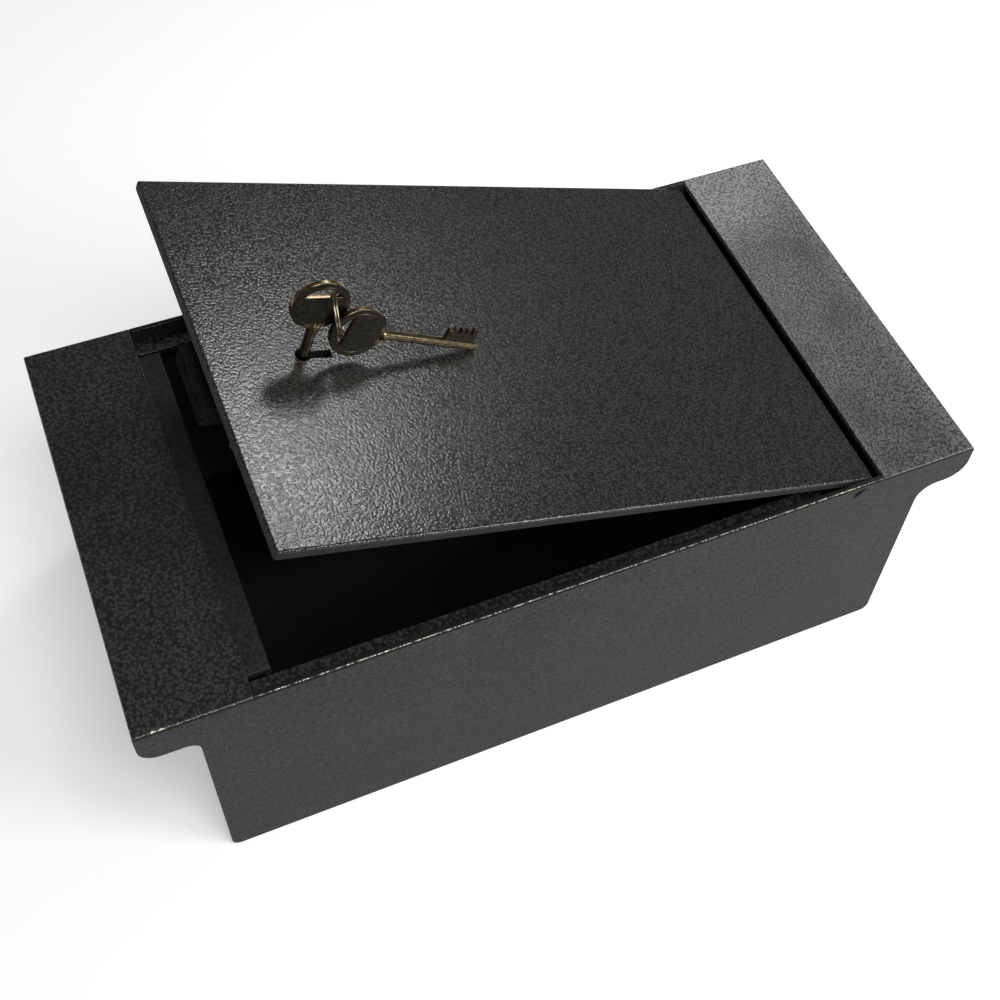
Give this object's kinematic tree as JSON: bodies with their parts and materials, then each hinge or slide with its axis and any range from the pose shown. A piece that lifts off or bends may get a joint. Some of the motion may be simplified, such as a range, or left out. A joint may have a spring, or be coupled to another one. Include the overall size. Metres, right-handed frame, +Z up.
{
  "type": "underfloor_safe",
  "caption": "Welded steel underfloor safe that hangs between floor joists, its hinged lid part open, with a lever lock under the lid and keys on a split ring",
  "frame": {"origin": "middle of the box's underside", "axes": "+X from the lock end to the hinge end, +Y from the front side to the back side, +Z up out of the floor"},
  "size_m": [0.4, 0.212, 0.2546],
  "materials": {
    "hammer_paint": "charcoal black hammered paint, glossy",
    "satin_paint": "charcoal satin paint with a fine grain",
    "black_paint": "matt black paint",
    "plated_steel": "zinc plated",
    "lever_brass": "stamped and flat ground",
    "spring_steel": "blued spring steel",
    "ring_steel": "bright nickel",
    "key_metal": "tarnished brass with worn bright rims"
  },
  "bodies": {
    "safe_body": {"body_shell": "satin_paint", "front_plate": "satin_paint", "back_plate": "satin_paint", "lock_end_plate": "hammer_paint", "hinge_end_plate": "hammer_paint", "keep_ledge": "satin_paint", "front_ledge": "hammer_paint", "back_ledge": "hammer_paint", "hinge_pin_front": "plated_steel", "hinge_pin_back": "plated_steel"},
    "lid": {"lid_plate": "hammer_paint", "hinge_strap_front": "black_paint", "hinge_strap_back": "black_paint", "lock_case": "plated_steel", "lock_cover": "plated_steel", "lever_post": "plated_steel", "lock_stud_1": "black_paint", "lock_screw_1": "plated_steel", "lock_stud_2": "black_paint", "lock_screw_2": "plated_steel", "lock_stud_3": "black_paint", "lock_screw_3": "plated_steel", "lock_stud_4": "black_paint", "lock_screw_4": "plated_steel"},
    "curtain": {"curtain": "black_paint"},
    "key": {"key": "key_metal"},
    "bolt": {"bolt": "plated_steel"},
    "levers": {"lever_1": "lever_brass", "lever_2": "lever_brass", "lever_3": "lever_brass", "lever_4": "lever_brass", "lever_5": "lever_brass", "lever_6": "lever_brass", "lever_spring_1": "spring_steel", "lever_spring_2": "spring_steel", "lever_spring_3": "spring_steel", "lever_spring_4": "spring_steel", "lever_spring_5": "spring_steel", "lever_spring_6": "spring_steel"},
    "key_ring": {"key_ring": "ring_steel"},
    "spare_key": {"spare_key": "key_metal"}
  },
  "joints": [
    {"name": "lid_hinge", "type": "hinge", "parent": "safe_body", "child": "lid", "pos_m": [0.1385, 0, 0.1255], "axis": [0, 1, 0], "range_deg": [-19.1, 80]},
    {"name": "key_turn", "type": "hinge", "parent": "lid", "child": "curtain", "pos_m": [-0.09552, -0.006, 0.20178], "axis": [-0.3272, 0, -0.9449], "range_deg": [0, 305]},
    {"name": "key_draw", "type": "slide", "parent": "curtain", "child": "key", "axis": [0.3272, 0, 0.9449], "range_m": [0, 0.032]},
    {"name": "bolt_slide", "type": "slide", "parent": "lid", "child": "bolt", "axis": [0.9449, 0, -0.3272], "range_m": [0, 0.0105]},
    {"name": "lever_lift", "type": "hinge", "parent": "lid", "child": "levers", "pos_m": [-0.07474, 0.008, 0.19458], "axis": [-0.3272, 0, -0.9449], "range_deg": [0, 9.4]},
    {"name": "ring_swing", "type": "hinge", "parent": "key", "child": "key_ring", "pos_m": [-0.07518, -0.006, 0.24648], "axis": [0, -1, 0], "range_deg": [0, 15]},
    {"name": "spare_key_swing", "type": "hinge", "parent": "key_ring", "child": "spare_key", "pos_m": [-0.07512, -0.00975, 0.22702], "axis": [0, -1, 0], "range_deg": [0, 40]}
  ],
  "couplings": [
    {"joint": "bolt_slide", "follows": "key_turn", "m_per_rad": 0.001972},
    {"joint": "lever_lift", "follows": "key_turn", "ratio": 0.0308}
  ]
}
